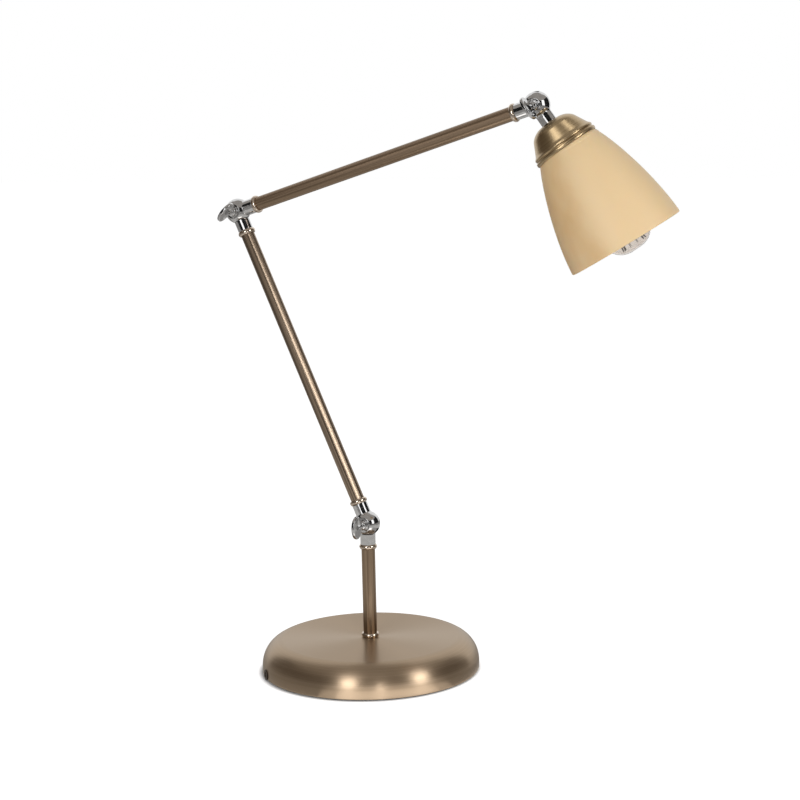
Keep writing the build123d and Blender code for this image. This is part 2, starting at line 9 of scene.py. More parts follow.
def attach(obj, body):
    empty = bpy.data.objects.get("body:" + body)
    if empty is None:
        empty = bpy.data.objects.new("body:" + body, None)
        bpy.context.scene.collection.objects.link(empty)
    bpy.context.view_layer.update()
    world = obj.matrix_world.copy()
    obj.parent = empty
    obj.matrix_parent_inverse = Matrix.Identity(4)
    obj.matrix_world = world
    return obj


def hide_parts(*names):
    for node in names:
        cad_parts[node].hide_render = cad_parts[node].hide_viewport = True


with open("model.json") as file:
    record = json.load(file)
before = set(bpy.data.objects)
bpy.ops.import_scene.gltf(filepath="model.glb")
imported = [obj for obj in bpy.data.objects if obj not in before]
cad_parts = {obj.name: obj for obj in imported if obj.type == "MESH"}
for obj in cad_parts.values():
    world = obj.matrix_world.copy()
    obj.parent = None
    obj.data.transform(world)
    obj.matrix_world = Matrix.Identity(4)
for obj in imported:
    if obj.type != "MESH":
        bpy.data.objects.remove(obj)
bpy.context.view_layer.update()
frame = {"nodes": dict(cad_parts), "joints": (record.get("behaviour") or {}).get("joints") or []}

# Felt pad
# A disc of grey wool felt, punched out of a sheet and glued under the weight, so that the lamp stands softly
# on the desk. It is notched where the bushing for the lead stands in the rim.
foot = Matrix.Scale(0.001, 4)
felt_radius, felt_thick = 97.5, 2
notch_start, notch_wide, notch_block = 95.05, 10.6, 10
lead_heading = radians(-135)


# A turned or spun form. Its outline is given in millimetres as (radius, height), its corners are rounded by
# (reach, segments), long straight runs get a line close to each end, and it is spun round its middle line.
def turned(outline, rounds, steps=96, closed=True):
    long_run, from_end, seam = 1.6, 0.3, 0.0005
    form = bmesh.new()
    corners = [form.verts.new((radius, 0, height)) for radius, height in outline]
    ends = corners[1:] + corners[:1] if closed else corners[1:]
    for start, end in zip(corners, ends):
        form.edges.new((start, end))
    for corner, (reach, segments) in rounds.items():
        bmesh.ops.bevel(form, geom=[corners[corner]], offset=reach, offset_type="OFFSET", affect="VERTICES",
                        segments=segments, profile=0.5, material=-1)
    for edge in form.edges[:]:
        length = edge.calc_length()
        if length > long_run:
            far = edge.verts[1]
            edge, near = bmesh.utils.edge_split(edge, edge.verts[0], from_end / length)
            edge = next(e for e in near.link_edges if far in e.verts)
            bmesh.utils.edge_split(edge, far, from_end / edge.calc_length())
    bmesh.ops.spin(form, geom=form.verts[:] + form.edges[:], cent=(0, 0, 0), axis=(0, 0, 1), angle=2 * pi,
                   steps=steps, use_merge=True)
    bmesh.ops.remove_doubles(form, verts=form.verts, dist=seam)
    bmesh.ops.recalc_face_normals(form, faces=form.faces)
    return form


# Takes one form out of another.
def cut(form, tool):
    blanks = []
    for solid in (form, tool):
        mesh = bpy.data.meshes.new("blank")
        solid.to_mesh(mesh)
        solid.free()
        blank = bpy.data.objects.new("blank", mesh)
        bpy.context.scene.collection.objects.link(blank)
        blanks.append(blank)
    boolean = blanks[0].modifiers.new("cut", "BOOLEAN")
    boolean.operation = "DIFFERENCE"
    boolean.solver = "EXACT"
    boolean.object = blanks[1]
    bpy.context.view_layer.update()
    left = bmesh.new()
    left.from_mesh(blanks[0].evaluated_get(bpy.context.evaluated_depsgraph_get()).data)
    for blank in blanks:
        mesh = blank.data
        bpy.data.objects.remove(blank)
        bpy.data.meshes.remove(mesh)
    return left


# Puts a finished form in its place on the lamp, in metres, smooth but for its creases.
def fit(form, name, place, body, slot, *materials):
    crease = radians(32)
    bmesh.ops.transform(form, matrix=place, verts=form.verts)
    mesh = bpy.data.meshes.new(name)
    form.to_mesh(mesh)
    form.free()
    mesh.shade_smooth()
    mesh.set_sharp_from_angle(angle=crease)
    for material in materials:
        mesh.materials.append(material)
    piece = bpy.data.objects.new("shown_" + name, mesh)
    bpy.context.scene.collection.objects.link(piece)
    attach(piece, body)
    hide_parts(name)
    return piece


# A finish starts with the place of its piece, so that its pattern is laid out in the piece's own millimetres.
def finish(name, place):
    material = bpy.data.materials.new(name)
    material.use_nodes = True
    tree = material.node_tree
    coordinates = tree.nodes.new("ShaderNodeTexCoord")
    mapping = tree.nodes.new("ShaderNodeMapping")
    mapping.vector_type = "TEXTURE"
    spot, turn, scale = place.decompose()
    mapping.inputs["Location"].default_value = spot
    mapping.inputs["Rotation"].default_value = turn.to_euler()
    mapping.inputs["Scale"].default_value = scale
    tree.links.new(coordinates.outputs["Object"], mapping.inputs["Vector"])
    return material, tree, tree.nodes["Principled BSDF"], mapping.outputs["Vector"]


# Grain of a finish: noise that is stretched by so many waves per millimetre each way.
def grain(tree, vector, waves, detail=3.0):
    stretch = tree.nodes.new("ShaderNodeVectorMath")
    stretch.operation = "MULTIPLY"
    stretch.inputs[1].default_value = waves
    noise = tree.nodes.new("ShaderNodeTexNoise")
    noise.inputs["Scale"].default_value = 1.0
    noise.inputs["Detail"].default_value = detail
    tree.links.new(vector, stretch.inputs[0])
    tree.links.new(stretch.outputs["Vector"], noise.inputs["Vector"])
    return noise.outputs["Fac"]


# Colour between two tones, as the grain goes.
def tones(tree, grains, dark, light, socket, low=0.35, high=0.65):
    ramp = tree.nodes.new("ShaderNodeValToRGB")
    ramp.color_ramp.elements[0].position = low
    ramp.color_ramp.elements[0].color = (*dark, 1)
    ramp.color_ramp.elements[1].position = high
    ramp.color_ramp.elements[1].color = (*light, 1)
    tree.links.new(grains, ramp.inputs["Fac"])
    tree.links.new(ramp.outputs["Color"], socket)


# A number between two levels, as the grain goes.
def levels(tree, grains, least, most, socket, low=0.3, high=0.7):
    level = tree.nodes.new("ShaderNodeMapRange")
    level.inputs["From Min"].default_value = low
    level.inputs["From Max"].default_value = high
    level.inputs["To Min"].default_value = least
    level.inputs["To Max"].default_value = most
    tree.links.new(grains, level.inputs["Value"])
    tree.links.new(level.outputs["Result"], socket)


# Relief of so many millimetres, as the grain goes.
def relief(tree, shader, grains, depth, strength=1.0):
    bump = tree.nodes.new("ShaderNodeBump")
    bump.inputs["Strength"].default_value = strength
    bump.inputs["Distance"].default_value = depth / 1000
    tree.links.new(grains, bump.inputs["Height"])
    tree.links.new(bump.outputs["Normal"], shader.inputs["Normal"])


grey_felt, tree, shader, spot = finish("grey felt", foot)
fibres = grain(tree, spot, (2.2, 2.2, 2.2), 6.0)
tones(tree, fibres, (0.10, 0.10, 0.10), (0.27, 0.26, 0.25), shader.inputs["Base Color"])
levels(tree, fibres, 0.9, 1.0, shader.inputs["Roughness"])
relief(tree, shader, fibres, 0.4)
shader.inputs["Sheen Weight"].default_value = 0.25

felt_outline = [(0, 0), (felt_radius, 0), (felt_radius, felt_thick), (0, felt_thick)]
felt = turned(felt_outline, {1: (0.5, 4), 2: (0.7, 4)}, 160, closed=False)
notch = bmesh.new()
bmesh.ops.create_cube(notch, size=1)
bmesh.ops.scale(notch, vec=(notch_block, notch_wide, notch_block), verts=notch.verts)
bmesh.ops.translate(notch, vec=(notch_start + notch_block / 2, 0, 0), verts=notch.verts)
bmesh.ops.rotate(notch, cent=(0, 0, 0), matrix=Matrix.Rotation(lead_heading, 3, "Z"), verts=notch.verts)
felt_pad = fit(cut(felt, notch), "base_felt", foot, "base", "felt", grey_felt)

# Weight
# A cast-iron disc that keeps the lamp from tipping over, with a boss under the cover and a groove for the
# lead. It is left as it came out of the sand and painted thinly against rust.
cast_iron, tree, shader, spot = finish("painted cast iron", foot)
sand = grain(tree, spot, (0.9, 0.9, 0.9), 8.0)
tones(tree, sand, (0.016, 0.015, 0.014), (0.05, 0.045, 0.04), shader.inputs["Base Color"])
levels(tree, sand, 0.75, 0.5, shader.inputs["Roughness"])
relief(tree, shader, sand, 0.5)
shader.inputs["Metallic"].default_value = 0.4


# Gives its finish to a solid that shows as it is.
def keep(node, material):
    solid = frame["nodes"][node]
    solid.data.materials.clear()
    solid.data.materials.append(material)


keep("base_weight", cast_iron)

# Rod, washer and nuts
# The hollow threaded rod that draws the stem down on the base, the nut and washer on it, the nuts inside the
# knuckles and the one under the shade's cap. All are bought-in steel, bright zinc plated.
bright_zinc, tree, shader, spot = finish("bright zinc", foot)
turning = grain(tree, spot, (0.4, 0.4, 3.0), 4.0)
tones(tree, turning, (0.42, 0.43, 0.45), (0.62, 0.62, 0.60), shader.inputs["Base Color"])
levels(tree, turning, 0.38, 0.26, shader.inputs["Roughness"])
shader.inputs["Metallic"].default_value = 1.0
for node in ("base_rod", "base_washer", "base_nut", "cap_nut"):
    keep(node, bright_zinc)
for knuckle in ("lower", "elbow", "head"):
    keep(knuckle + "_knuckle_nut", bright_zinc)

# Base cover
# The dome of the base, spun from brass sheet over a former, brushed on the lathe so that fine rings run round
# it, then darkened and lacquered. Its edge is rounded over, and the bushing sits in a hole in the skirt.
base_radius, base_height, base_sheet = 100, 30, 1.2
rod_hole, lead_hole, lead_height, lead_drill = 5.05, 4.05, 5.2, 30
shoulder_wide, shoulder_tall = 20.0, 23.0

# The shoulder is taller than wide, so its arc is made in an outline that is squeezed and then stretched.
squeeze = shoulder_wide / shoulder_tall
cover_outline = [(base_radius, base_sheet), (base_radius, base_height), (rod_hole, base_height),
                 (rod_hole, base_height - base_sheet), (base_radius - base_sheet, base_height - base_sheet),
                 (base_radius - base_sheet, base_sheet)]
cover_outline = [(radius, height * squeeze) for radius, height in cover_outline]
cover = turned(cover_outline, {1: (shoulder_wide - 0.01, 28), 4: (18.7, 20), 0: (0.5, 4), 5: (0.5, 4)}, 224)
bmesh.ops.scale(cover, vec=(1, 1, 1 / squeeze), verts=cover.verts)
outlet = Matrix.Translation((0, 0, lead_height / 1000)) @ Matrix.Rotation(lead_heading, 4, "Z")
outlet = outlet @ Matrix.Rotation(radians(90), 4, "Y") @ Matrix.Scale(0.001, 4)
drill = bmesh.new()
bmesh.ops.create_cone(drill, cap_ends=True, segments=48, radius1=lead_hole, radius2=lead_hole,
                      depth=lead_drill)
bmesh.ops.translate(drill, vec=(0, 0, base_radius), verts=drill.verts)
bmesh.ops.transform(drill, matrix=foot.inverted() @ outlet, verts=drill.verts)
cover = cut(cover, drill)

ringed_brass, tree, shader, spot = finish("brass, brushed in rings", foot)


# Vector of (radius, height) round a piece's middle line, for marks that run round it.
def round_marks(tree, vector):
    flat = tree.nodes.new("ShaderNodeVectorMath")
    flat.operation = "MULTIPLY"
    flat.inputs[1].default_value = (1, 1, 0)
    radius = tree.nodes.new("ShaderNodeVectorMath")
    radius.operation = "LENGTH"
    height = tree.nodes.new("ShaderNodeSeparateXYZ")
    pair = tree.nodes.new("ShaderNodeCombineXYZ")
    tree.links.new(vector, flat.inputs[0])
    tree.links.new(flat.outputs["Vector"], radius.inputs[0])
    tree.links.new(vector, height.inputs["Vector"])
    tree.links.new(radius.outputs["Value"], pair.inputs["X"])
    tree.links.new(height.outputs["Z"], pair.inputs["Y"])
    return pair.outputs["Vector"]


rings = grain(tree, round_marks(tree, spot), (2.6, 2.6, 0), 5.0)
tones(tree, rings, (0.376, 0.281, 0.191), (0.475, 0.363, 0.257), shader.inputs["Base Color"])
levels(tree, rings, 0.30, 0.40, shader.inputs["Roughness"])
relief(tree, shader, rings, 0.02, 0.35)
shader.inputs["Metallic"].default_value = 1.0
shader.inputs["Anisotropic"].default_value = 0.8
shader.inputs["Anisotropic Rotation"].default_value = 0.25
shader.inputs["Specular Tint"].default_value = (0.78, 0.785, 0.78, 1)
tangent = tree.nodes.new("ShaderNodeTangent")
tangent.direction_type = "RADIAL"
tangent.axis = "Z"
tree.links.new(tangent.outputs["Tangent"], shader.inputs["Tangent"])
fit(cover, "base_cover", foot, "base", "aged_brass", ringed_brass)

# Bushing for the lead
# A small moulded bushing with a lip on each side of the skirt, which keeps the sheet's edge off the lead. It
# is pressed in from outside, and dark brown to go with the brass. The lamp holder is of the same in black.
plastics = {}
for colour, dark, light in (
    ("brown", (0.035, 0.024, 0.016), (0.075, 0.054, 0.038)),
    ("black", (0.010, 0.010, 0.010), (0.024, 0.023, 0.022)),
):
    plastics[colour], tree, shader, spot = finish(colour + " moulded plastic", outlet)
    flow = grain(tree, spot, (1.4, 1.4, 1.4), 5.0)
    tones(tree, flow, dark, light, shader.inputs["Base Color"])
    levels(tree, flow, 0.42, 0.6, shader.inputs["Roughness"])
    relief(tree, shader, flow, 0.05, 0.5)
lead_way, bushing_body, bushing_lip = 2.6, 4, 4.8
bushing_inner, lip_from, lip_to, bushing_outer = 95.55, 97.55, 98.45, 100.9
bushing_outline = [(lead_way, bushing_inner), (bushing_body, bushing_inner), (bushing_lip, lip_from),
                   (bushing_lip, lip_to), (bushing_body, lip_to), (bushing_body, base_radius),
                   (bushing_lip, base_radius), (bushing_lip, bushing_outer), (lead_way, bushing_outer)]
bushing = turned(bushing_outline, {6: (0.2, 2), 7: (0.4, 4), 8: (0.5, 4)}, 48)
fit(bushing, "cord_bushing", outlet, "base", "black_plastic", plastics["brown"])

# Bead rings
# Six turned brass beads, one between each tube and what it stands on. They are polished, so that they look
# paler than the tubes, and the spigot or the rod runs through them.
joints = {joint["name"]: joint for joint in frame["joints"]}
stem_pivot = Vector(joints["lower_arm_tilt"]["pos_m"])
elbow_pivot = Vector(joints["elbow"]["pos_m"])
head_pivot = Vector(joints["head_tilt"]["pos_m"])
across = Vector((0, 1, 0))
head_across = Vector(joints["head_tilt"]["axis"])
lower_way = (elbow_pivot - stem_pivot).normalized()
upper_way = (head_pivot - elbow_pivot).normalized()
head_bend = radians(72.95)
head_way = Matrix.Rotation(head_bend, 3, head_across) @ upper_way


# Place of a member: it runs along its own Z, and its joint turns about its own Y.
def member(pivot, way, axis):
    turn = Matrix((axis.cross(way), axis, way)).transposed().to_4x4()
    return Matrix.Translation(pivot) @ turn @ Matrix.Scale(0.001, 4)


# A place further along a member.
def further(place, millimetres):
    return place @ Matrix.Translation((0, 0, millimetres))


stem_end = member(stem_pivot, Vector((0, 0, -1)), across)
lower_start = member(stem_pivot, lower_way, across)
lower_end = member(elbow_pivot, -lower_way, across)
upper_start = member(elbow_pivot, upper_way, across)
upper_end = member(head_pivot, -upper_way, head_across)
head = member(head_pivot, head_way, head_across)
neck_length, ring_height = 19.5, 4.0
bore, bead_foot, bead_radius = 5.25, 7.3, 9.2
bead_outline = [(bore, 0), (bead_foot, 0), (bead_radius, ring_height / 2), (bead_foot, ring_height),
                (bore, ring_height)]
for name, body, place in (
    ("stem_foot_ring", "base", further(foot, base_height)),
    ("stem_top_ring", "base", further(stem_end, neck_length)),
    ("lower_arm_bottom_ring", "lower_arm", further(lower_start, neck_length)),
    ("lower_arm_top_ring", "lower_arm", further(lower_end, neck_length)),
    ("upper_arm_inner_ring", "upper_arm", further(upper_start, neck_length)),
    ("upper_arm_outer_ring", "upper_arm", further(upper_end, neck_length)),
):
    bead_brass, tree, shader, spot = finish("bead brass of " + name.replace("_", " "), place)
    turning = grain(tree, round_marks(tree, spot), (3.0, 3.0, 0), 4.0)
    tones(tree, turning, (0.52, 0.42, 0.325), (0.78, 0.68, 0.58), shader.inputs["Base Color"])
    levels(tree, turning, 0.12, 0.22, shader.inputs["Roughness"])
    shader.inputs["Metallic"].default_value = 1.0
    bead = turned(bead_outline, {2: (2.7, 14)}, 72)
    fit(bead, name, place, body, "ring_brass", bead_brass)

# Tubes
# The stem and the two arms are drawn brass tube, 12.5 mm across, brushed lengthwise, darkened brown and
# lacquered. They are pressed over the spigots of the knuckles. The lower arm has paler tones and stronger
# lengthwise stripes, which are partly brushing and partly painted reflection.
arm_length, stem_tube_length, tube_radius = 311, 79.2, 6.25
arm_tube_length = arm_length - 2 * (neck_length + ring_height)
brown_tones = (0.24, 0.17, 0.112), (0.405, 0.296, 0.205)
# The lower arm's tones lie far apart, so its lengthwise stripes are partly brushing and partly painted
# reflection.
pale_painted_stripe_tones = (0.17, 0.129, 0.093), (0.50, 0.39, 0.29)
lower_tube_place = further(lower_start, neck_length + ring_height)
upper_tube_place = further(upper_start, neck_length + ring_height)
tubes = {}
for name, body, place, length, (dark, light) in (
    ("stem_tube", "base", further(foot, base_height + ring_height), stem_tube_length, brown_tones),
    ("lower_arm_tube", "lower_arm", lower_tube_place, arm_tube_length, pale_painted_stripe_tones),
    ("upper_arm_tube", "upper_arm", upper_tube_place, arm_tube_length, brown_tones),
):
    brown_brass, tree, shader, spot = finish("brown brass of " + name.replace("_", " "), place)
    strokes_and_painted_stripes = grain(tree, spot, (0.6, 0.6, 0.004), 1.0)
    tones(tree, strokes_and_painted_stripes, dark, light, shader.inputs["Base Color"])
    levels(tree, strokes_and_painted_stripes, 0.30, 0.40, shader.inputs["Roughness"])
    shader.inputs["Metallic"].default_value = 1.0
    shader.inputs["Anisotropic"].default_value = 0.7
    shader.inputs["Anisotropic Rotation"].default_value = 0.25
    brushing = tree.nodes.new("ShaderNodeVectorTransform")
    brushing.vector_type = "VECTOR"
    brushing.convert_from = "OBJECT"
    brushing.convert_to = "WORLD"
    brushing.inputs["Vector"].default_value = place.col[2].xyz.normalized()
    tree.links.new(brushing.outputs["Vector"], shader.inputs["Tangent"])
    pipe_outline = [(bore, 0), (tube_radius, 0), (tube_radius, length), (bore, length)]
    pipe = turned(pipe_outline, {1: (0.25, 3), 2: (0.25, 3)}, 80)
    tubes[name] = fit(pipe, name, place, body, "aged_brass", brown_brass)

# Knuckles, the half with the tongue
# A turned neck, cupped at its end for the ball, with a flat tongue that reaches into the ball's slot and an
# eye for the screw. It is steel, polished and chromed, and its spigot is pressed into the tube.
neck_radius, spigot_radius, spigot_length, wire_way = 7.0, 5.2, 12, 3
spigot_end = neck_length + ring_height + spigot_length
cup_rim, cup_floor, cup_wide, neck_web = 9.5, 11.8, 3.88, 14.8
tongue_half, tongue_root, tongue_thick = 4.2, 13.3, 4.6
screw_hole, eye_drill = 2.05, 12
chromed = []


# Chrome for one piece, with a thin uneven film on it.
def chrome_of(name, place):
    chrome, tree, shader, spot = finish("chrome of " + name.replace("_", " "), place)
    film = grain(tree, spot, (0.35, 0.35, 0.35), 5.0)
    tones(tree, film, (0.59, 0.587, 0.585), (0.68, 0.677, 0.675), shader.inputs["Base Color"])
    levels(tree, film, 0.05, 0.09, shader.inputs["Roughness"])
    shader.inputs["Metallic"].default_value = 0.96
    return chrome


# A straight rod across a knuckle, for the holes and pockets in it.
def rod(radius, depth, segments=40):
    pin = bmesh.new()
    bmesh.ops.create_cone(pin, cap_ends=True, segments=segments, radius1=radius, radius2=radius, depth=depth)
    bmesh.ops.rotate(pin, cent=(0, 0, 0), matrix=Matrix.Rotation(radians(90), 3, "X"), verts=pin.verts)
    return pin


# A flat plate that stands across a knuckle, with some of its corners rounded and its edges broken.
def plate(corners, rounded, thickness, edge):
    sheet = bmesh.new()
    outline = [sheet.verts.new((x, 0, z)) for x, z in corners]
    sheet.faces.new(outline)
    for corner, (reach, segments) in rounded.items():
        bmesh.ops.bevel(sheet, geom=[outline[corner]], offset=reach, offset_type="OFFSET", affect="VERTICES",
                        segments=segments, profile=0.5, material=-1)
    far = bmesh.ops.extrude_face_region(sheet, geom=sheet.faces[:])["geom"]
    far = [vert for vert in far if isinstance(vert, bmesh.types.BMVert)]
    bmesh.ops.translate(sheet, vec=(0, thickness, 0), verts=far)
    bmesh.ops.translate(sheet, vec=(0, -thickness / 2, 0), verts=sheet.verts)
    bmesh.ops.recalc_face_normals(sheet, faces=sheet.faces)
    if edge:
        rims = [e for e in sheet.edges if abs(e.verts[0].co.y - e.verts[1].co.y) < 0.001]
        bmesh.ops.bevel(sheet, geom=rims, offset=edge, offset_type="OFFSET", affect="EDGES", segments=2,
                        profile=0.5, material=-1)
    return sheet


# Adds one form to another.
def join(form, other):
    mesh = bpy.data.meshes.new("joined")
    other.to_mesh(mesh)
    other.free()
    form.from_mesh(mesh)
    bpy.data.meshes.remove(mesh)


for name, body, place in (
    ("stem_knuckle", "base", stem_end),
    ("lower_arm_knuckle", "lower_arm", lower_end),
    ("upper_arm_knuckle", "upper_arm", upper_end),
):
    neck_outline = [(0, cup_floor), (cup_wide, cup_floor), (neck_radius, cup_rim), (neck_radius, neck_length),
                    (spigot_radius, neck_length), (spigot_radius, spigot_end), (wire_way, spigot_end),
                    (wire_way, neck_web), (0, neck_web)]
    neck = turned(neck_outline, {1: (cup_wide - 0.02, 8), 2: (0.3, 3), 3: (0.4, 3)}, 72)
    tongue_outline = [(-tongue_half, -tongue_half), (tongue_half, -tongue_half), (tongue_half, tongue_root),
                      (-tongue_half, tongue_root)]
    tongue_round = (tongue_half - 0.01, 10)
    tongue = plate(tongue_outline, {0: tongue_round, 1: tongue_round}, tongue_thick, 0.3)
    join(neck, cut(tongue, rod(screw_hole, eye_drill)))
    chromed.append(fit(neck, name, place, body, "chrome", chrome_of(name, place)))

# Knuckles, the half with the ball
# A turned ball that runs into a neck, with a flat milled on each side, a slot for the tongue, a hole for the
# screw and a six-sided pocket for its nut. It is steel, polished and chromed.
ball_radius, ball_flat, ball_waist, neck_start = 11.5, 9.2, 5.27, 9.15
rim_merge, rim_reach = 0.35, 0.5
slot_back, slot_front = radians(-25), radians(100)
slot_middle = (slot_back + slot_front) / 2
slot_half, slot_wide, slot_root, slot_overreach = 4.5, 5.2, 2.343, 2.4
ball_drill, nut_across, nut_deep, overcut = 40, 7.1, 3.2, 4
head_neck, head_spigot = 18.5, 30.0
for name, body, place, slot_side, neck_end, ball_spigot_end in (
    ("lower_arm_ball", "lower_arm", lower_start, -1, neck_length, spigot_end),
    ("upper_arm_ball", "upper_arm", upper_start, 1, neck_length, spigot_end),
    ("head_ball", "head", head, 1, head_neck, head_spigot),
):
    ball_outline = [(0, -ball_radius), (ball_radius, -ball_radius), (ball_radius, ball_waist),
                    (neck_radius, neck_start), (neck_radius, neck_end), (spigot_radius, neck_end),
                    (spigot_radius, ball_spigot_end), (0, ball_spigot_end)]
    rounds = {1: (ball_radius - 0.0003, 20), 2: (5.25, 10), 3: (0.68, 5), 4: (0.4, 3)}
    ball = turned(ball_outline, rounds, 96, closed=False)
    for way in (-1, 1):
        bmesh.ops.bisect_plane(ball, geom=ball.verts[:] + ball.edges[:] + ball.faces[:],
                               plane_co=(0, way * ball_flat, 0), plane_no=(0, way, 0), clear_outer=True)
        rim = [vert for vert in ball.verts if vert.is_boundary]
        bmesh.ops.remove_doubles(ball, verts=rim, dist=rim_merge)
        # Points close under the flat are drawn up to its rim, so that the bevel of the rim has room.
        rim = [vert for vert in ball.verts if vert.is_boundary]
        drawn_up = {}
        for vert in ball.verts:
            if not vert.is_boundary and way * vert.co.y > ball_flat - rim_reach:
                nearest = min(rim, key=lambda other: (other.co - vert.co).length)
                if (nearest.co - vert.co).length < rim_reach:
                    drawn_up[vert] = nearest
        bmesh.ops.weld_verts(ball, targetmap=drawn_up)
        rim = [edge for edge in ball.edges if edge.is_boundary]
        bmesh.ops.edgeloop_fill(ball, edges=rim)
        bmesh.ops.bevel(ball, geom=rim, offset=0.3, offset_type="OFFSET", affect="EDGES", segments=3,
                        profile=0.5, material=-1)
        flat = [face for face in ball.faces if len(face.verts) > 8 and way * face.normal.y > 0.99]
        bmesh.ops.inset_region(ball, faces=flat, thickness=0.25, use_even_offset=True)
    bmesh.ops.recalc_face_normals(ball, faces=ball.faces)
    # The slot is as wide as the tongue needs from one end of its swing to the other.
    reach = 2 * ball_radius
    back = Vector((sin(slot_back), -cos(slot_back)))
    front = Vector((sin(slot_front), -cos(slot_front)))
    beyond = Vector((sin(slot_middle), -cos(slot_middle))) * slot_overreach * reach
    back_wall = Vector((-cos(slot_back), -sin(slot_back))) * slot_half
    front_wall = Vector((cos(slot_front), sin(slot_front))) * slot_half
    corners = [back_wall - back * slot_root, back_wall + back * reach, beyond, front_wall + front * reach]
    slot = plate([(slot_side * x, z) for x, z in corners], {0: (slot_root - 0.003, 8)}, slot_wide, 0)
    ball = cut(ball, slot)
    ball = cut(ball, rod(screw_hole, ball_drill))
    pocket_deep = nut_deep + overcut
    pocket = rod(nut_across / 2 / cos(radians(30)), pocket_deep, 6)
    bmesh.ops.translate(pocket, vec=(0, ball_flat - nut_deep + pocket_deep / 2, 0), verts=pocket.verts)
    ball = cut(ball, pocket)
    chromed.append(fit(ball, name, place, body, "chrome", chrome_of(name, place)))

# Washers
# A plain pressed washer under each wing screw, chromed, which lets the screw turn without marking the ball.
# It sits on the ball's flat.
washer_radius, washer_top = 5.2, 10
washer_outline = [(screw_hole, ball_flat), (washer_radius, ball_flat), (washer_radius, washer_top),
                  (screw_hole, washer_top)]


# Place of a screw and its washer, which run across a knuckle.
def screw_place(place):
    return place @ Matrix.Rotation(radians(90), 4, "X")


for knuckle, body, place in (
    ("lower", "lower_arm", lower_start),
    ("elbow", "upper_arm", upper_start),
    ("head", "head", head),
):
    name = knuckle + "_knuckle_washer"
    washer = turned(washer_outline, {1: (0.15, 2), 2: (0.3, 3)}, 64)
    chromed.append(fit(washer, name, screw_place(place), body, "chrome", chrome_of(name, place)))

# Wing screws
# The screw that clamps each knuckle: a shank through the ball, a domed hub and a flat oval wing to turn it
# by, cast in one piece, polished and chromed. The wing is slightly dished on both faces.
shank_radius, hub_radius, wing_root = 2, 4.3, 2.6
hub_start, hub_end, wing_start, wing_middle = 10.05, 13.05, 13.4, 21.55
wing_long, wing_high, wing_thick = 10.5, 8, 3
hub_outline = [(0, -ball_flat), (shank_radius, -ball_flat), (shank_radius, hub_start),
               (hub_radius, hub_start), (hub_radius, hub_end), (wing_root, wing_start),
               (wing_root, wing_middle), (0, wing_middle)]
hub_rounds = {1: (0.5, 2), 3: (0.3, 3), 4: (1.6, 8), 5: (0.3, 3)}
for knuckle, place, wing_turn in (("lower", lower_start, 24), ("elbow", upper_start, -32), ("head", head, 0)):
    name = knuckle + "_wing_screw"
    wing_place = screw_place(place @ Matrix.Rotation(radians(wing_turn - 90), 4, "Y"))
    screw = turned(hub_outline, hub_rounds, 64, closed=False)
    wing = bmesh.new()
    bmesh.ops.create_circle(wing, cap_ends=True, segments=72, radius=1)
    bmesh.ops.scale(wing, vec=(wing_long, wing_high, 1), verts=wing.verts)
    far = bmesh.ops.extrude_face_region(wing, geom=wing.faces[:])["geom"]
    far = [vert for vert in far if isinstance(vert, bmesh.types.BMVert)]
    bmesh.ops.translate(wing, vec=(0, 0, wing_thick), verts=far)
    bmesh.ops.translate(wing, vec=(0, 0, -wing_thick / 2), verts=wing.verts)
    bmesh.ops.recalc_face_normals(wing, faces=wing.faces)
    rims = [edge for edge in wing.edges if abs(edge.verts[0].co.z - edge.verts[1].co.z) < 0.001]
    bmesh.ops.bevel(wing, geom=rims, offset=0.9, offset_type="OFFSET", affect="EDGES", segments=5,
                    profile=0.5, material=-1)
    dishes = [face for face in wing.faces if abs(face.normal.z) > 0.99 and len(face.verts) > 8]
    for inset, depth in ((0.3, 0), (2.2, -0.25), (3.2, -0.2)):
        bmesh.ops.inset_region(wing, faces=dishes, thickness=inset, depth=depth, use_even_offset=True)
    bmesh.ops.rotate(wing, cent=(0, 0, 0), matrix=Matrix.Rotation(radians(90), 3, "X"), verts=wing.verts)
    bmesh.ops.translate(wing, vec=(0, 0, wing_middle), verts=wing.verts)
    join(screw, wing)
    chromed.append(fit(screw, name, wing_place, knuckle + "_wing", "chrome", chrome_of(name, place)))

# Shade cap
# A bell spun from brass sheet, with a rounded crown, a bead, a groove and a rolled rim. It is brushed as it
# turns, darkened and lacquered, and a nut inside holds it on the neck of the head's ball.
cap_sheet, groove, rim_radius, rim_top = 1.0, 27.8, 29.2, 40.9
cap_outside = [(bore, head_neck), (17.04, head_neck), (21, 25.5), (25.8, 35), (26.55, 36.49), (groove, 37.6),
               (29.27, 39), (groove, 40.4), (groove, rim_top), (rim_radius, rim_top), (rim_radius, 43.9)]
cap_inside = [(28.6, 44.5), (27.3, rim_top), (26.8, 37.6), (24.8, 35), (20, 25.5),
              (16.14, head_neck + cap_sheet), (bore, head_neck + cap_sheet)]
cap_rounds = {1: (7.98, 18), 2: (1.0, 3), 4: (1.6, 6), 6: (1.95, 10), 9: (1.35, 8), 10: (0.7, 5),
              16: (7.0, 12)}
cap = turned(cap_outside + cap_inside, cap_rounds, 144)
spun_brass, tree, shader, spot = finish("spun brass", head)
rings = grain(tree, round_marks(tree, spot), (2.2, 2.2, 0), 5.0)
tones(tree, rings, (0.40, 0.295, 0.165), (0.52, 0.395, 0.235), shader.inputs["Base Color"])
levels(tree, rings, 0.27, 0.36, shader.inputs["Roughness"])
relief(tree, shader, rings, 0.02, 0.35)
shader.inputs["Metallic"].default_value = 1.0
shown_cap = fit(cap, "shade_cap", head, "head", "cap_brass", spun_brass)

